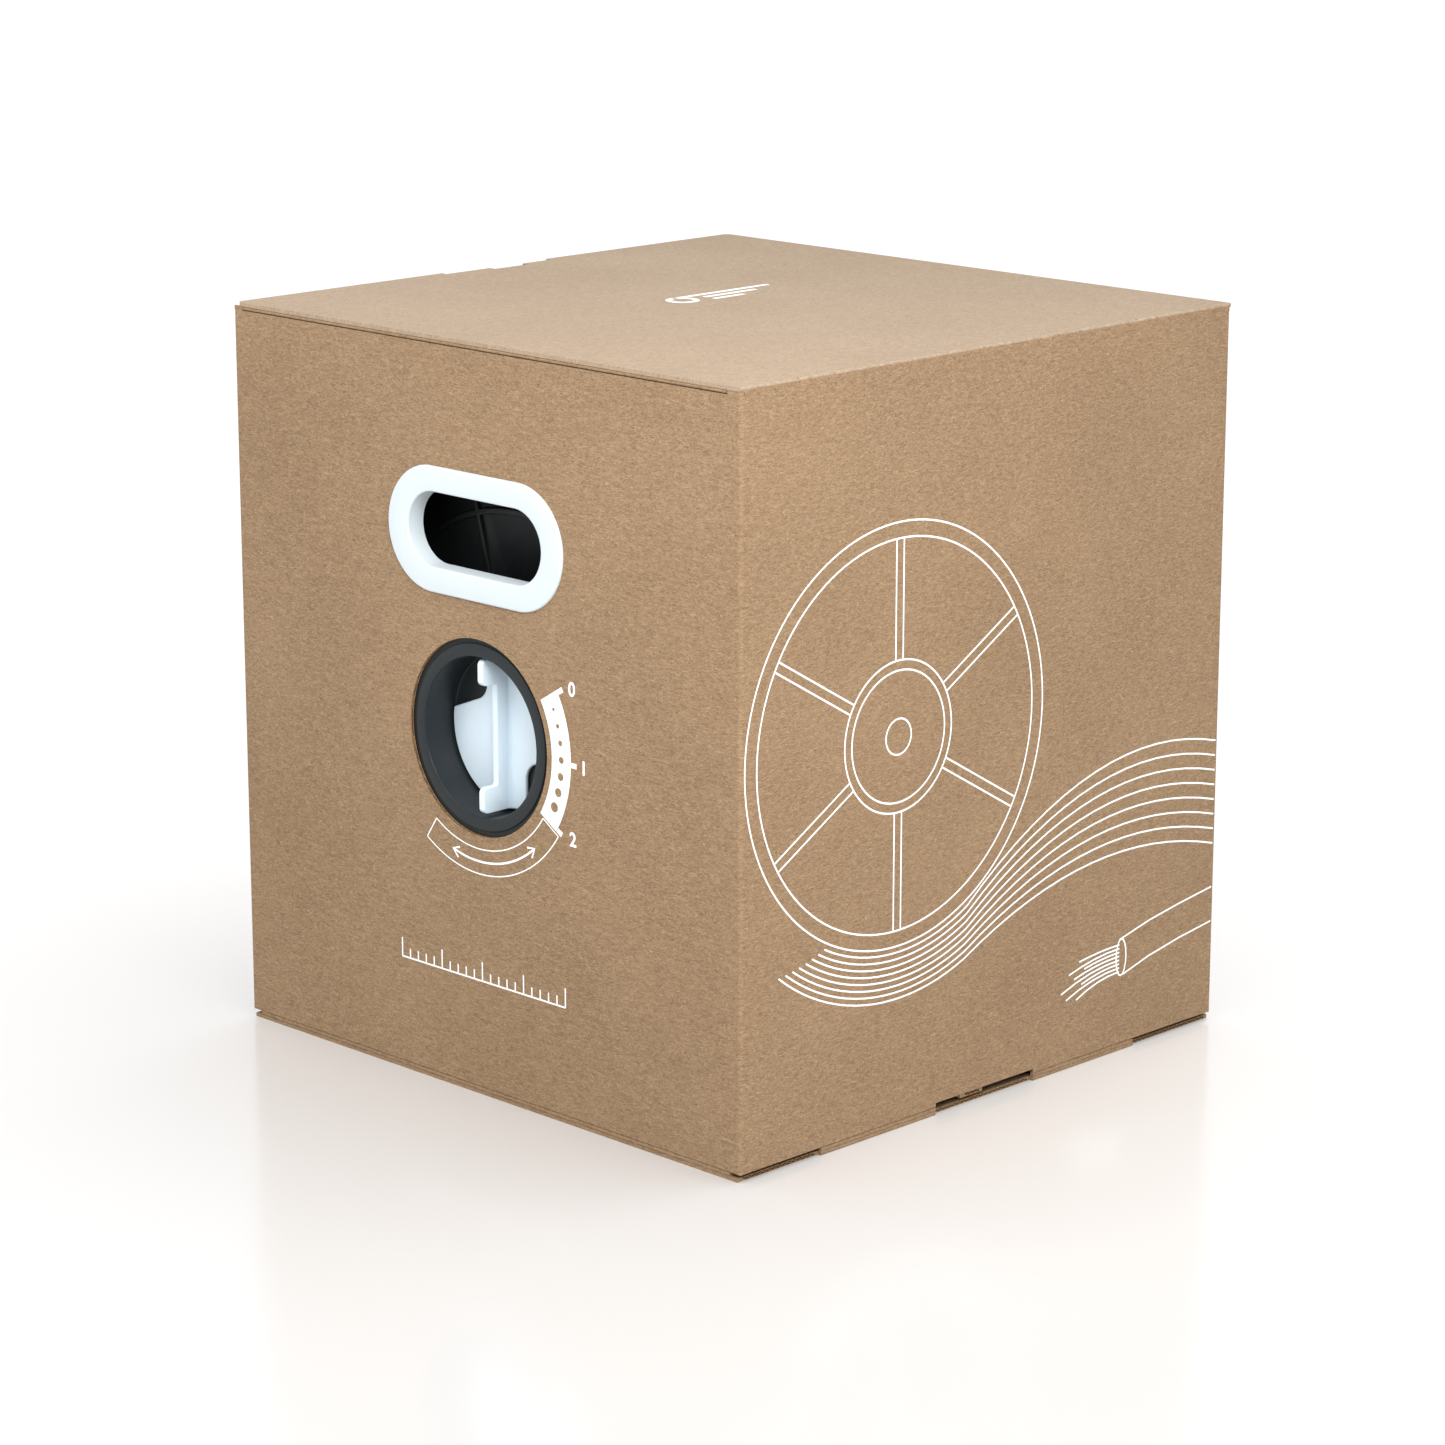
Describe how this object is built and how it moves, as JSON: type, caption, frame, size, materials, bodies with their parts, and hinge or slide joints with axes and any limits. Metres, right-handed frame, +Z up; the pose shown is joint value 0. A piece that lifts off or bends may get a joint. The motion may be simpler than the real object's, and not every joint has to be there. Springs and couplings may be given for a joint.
{
  "type": "cable spool box",
  "caption": "Corrugated pull-box with hand holes, a free-turning cable reel on bearing cups, a drag knob with a dial, a hinged lid and a cable outlet.",
  "frame": {"origin": "centre of the box's footprint, on the surface it stands on", "axes": "+Z up; the front wall with the knob faces -Y; the lid hinges along the top of the +X wall; the reel's axle runs along Y"},
  "size_m": [0.3682, 0.3596, 0.385],
  "materials": {
    "kraft_board": "matte",
    "lid_board": "matte",
    "white_plastic": "satin",
    "knob_plastic": "satin",
    "dark_grey_plastic": "satin",
    "black_plastic": "satin",
    "zinc_steel": "satin",
    "felt": "matte",
    "paper_tube": "matte",
    "cable_jacket": "satin"
  },
  "bodies": {
    "carton": {"front_wall": "kraft_board", "rear_wall": "kraft_board", "right_wall": "kraft_board", "left_wall": "kraft_board", "glue_tab": "kraft_board", "bottom_flap_front": "kraft_board", "bottom_flap_rear": "kraft_board", "bottom_outer_panel": "kraft_board", "bottom_inner_panel": "kraft_board", "bearing_pad_front": "kraft_board", "bearing_pad_rear": "kraft_board", "hand_hole_bezel_front": "white_plastic", "hand_hole_bezel_rear": "white_plastic", "bezel_backing_ring_front": "white_plastic", "bezel_backing_ring_rear": "white_plastic", "bearing_cup_front": "dark_grey_plastic", "bearing_cup_rear": "dark_grey_plastic", "cable_outlet": "white_plastic", "outlet_nut": "white_plastic", "brake_spring": "zinc_steel"},
    "lid": {"lid": "lid_board"},
    "dust_flap_front": {"dust_flap_front": "kraft_board"},
    "dust_flap_rear": {"dust_flap_rear": "kraft_board"},
    "reel": {"reel_flange_front": "black_plastic", "reel_flange_rear": "black_plastic", "reel_hub_front": "black_plastic", "reel_hub_rear": "black_plastic", "reel_core": "paper_tube", "reel_tie_rods": "zinc_steel", "cable_pack": "cable_jacket", "cable_end_clip": "black_plastic"},
    "tension_knob": {"tension_knob": "knob_plastic", "knob_shaft": "zinc_steel", "knob_retaining_ring": "zinc_steel"},
    "pressure_plate": {"pressure_plate": "dark_grey_plastic", "friction_pad": "felt"}
  },
  "joints": [
    {"name": "lid_hinge", "type": "hinge", "parent": "carton", "child": "lid", "pos_m": [0.1825, 0, 0.384], "axis": [0, 1, 0], "range_deg": [0, 110]},
    {"name": "front_flap_hinge", "type": "hinge", "parent": "carton", "child": "dust_flap_front", "pos_m": [0, -0.1775, 0.382], "axis": [1, 0, 0], "range_deg": [0, 90]},
    {"name": "rear_flap_hinge", "type": "hinge", "parent": "carton", "child": "dust_flap_rear", "pos_m": [0, 0.1775, 0.382], "axis": [-1, 0, 0], "range_deg": [0, 90]},
    {"name": "reel_spin", "type": "hinge", "parent": "carton", "child": "reel", "pos_m": [0, 0, 0.1865], "axis": [0, 1, 0], "continuous": true},
    {"name": "knob_turn", "type": "hinge", "parent": "carton", "child": "tension_knob", "pos_m": [0, -0.1595, 0.1865], "axis": [0, 1, 0], "range_deg": [-31, 31]},
    {"name": "pressure_plate_slide", "type": "slide", "parent": "carton", "child": "pressure_plate", "axis": [0, 1, 0], "range_m": [-0.0009, 0.0009], "deforming": ["brake_spring"]}
  ],
  "couplings": [
    {"joint": "front_flap_hinge", "follows": "lid_hinge", "ratio": 0.8},
    {"joint": "rear_flap_hinge", "follows": "lid_hinge", "ratio": 0.8},
    {"joint": "pressure_plate_slide", "follows": "knob_turn", "m_per_rad": 0.0015}
  ]
}
